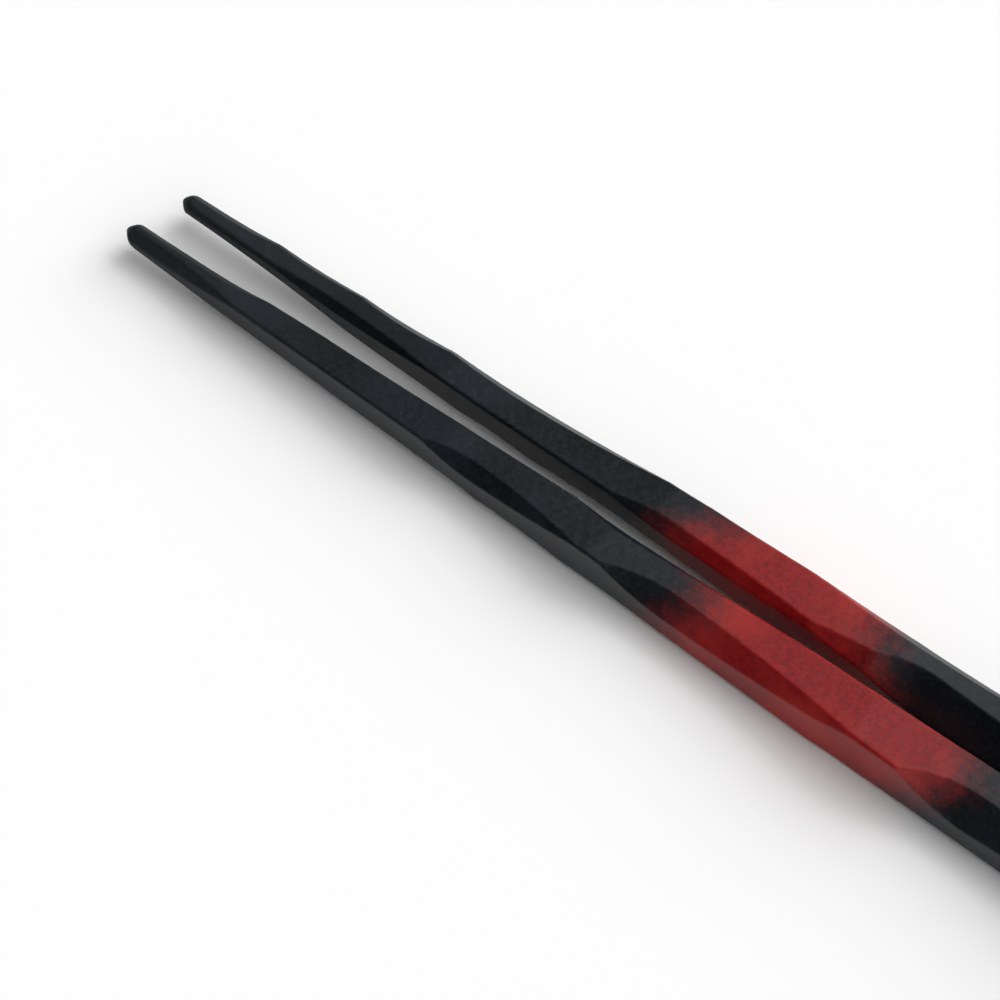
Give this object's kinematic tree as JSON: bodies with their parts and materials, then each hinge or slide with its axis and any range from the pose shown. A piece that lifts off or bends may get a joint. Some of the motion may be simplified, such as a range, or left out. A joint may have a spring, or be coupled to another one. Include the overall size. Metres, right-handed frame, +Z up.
{
  "type": "pair of wooden chopsticks",
  "caption": "Pair of tapered, hand-carved wooden chopsticks in black lacquer with a faded red band on each, lying side by side as they rest.",
  "frame": {"origin": "centre of the pair's footprint, on the surface that the handles' flat undersides rest on", "axes": "+X from the tips to the butt ends, -Y towards the near stick's side, +Z up"},
  "size_m": [0.232, 0.0163, 0.0077],
  "materials": {
    "lacquer": "semi-gloss black lacquer on carved wood, with one red band that fades into the black at both ends"
  },
  "bodies": {
    "root": {"chopstick_near": "lacquer", "chopstick_far": "lacquer"}
  },
  "joints": []
}
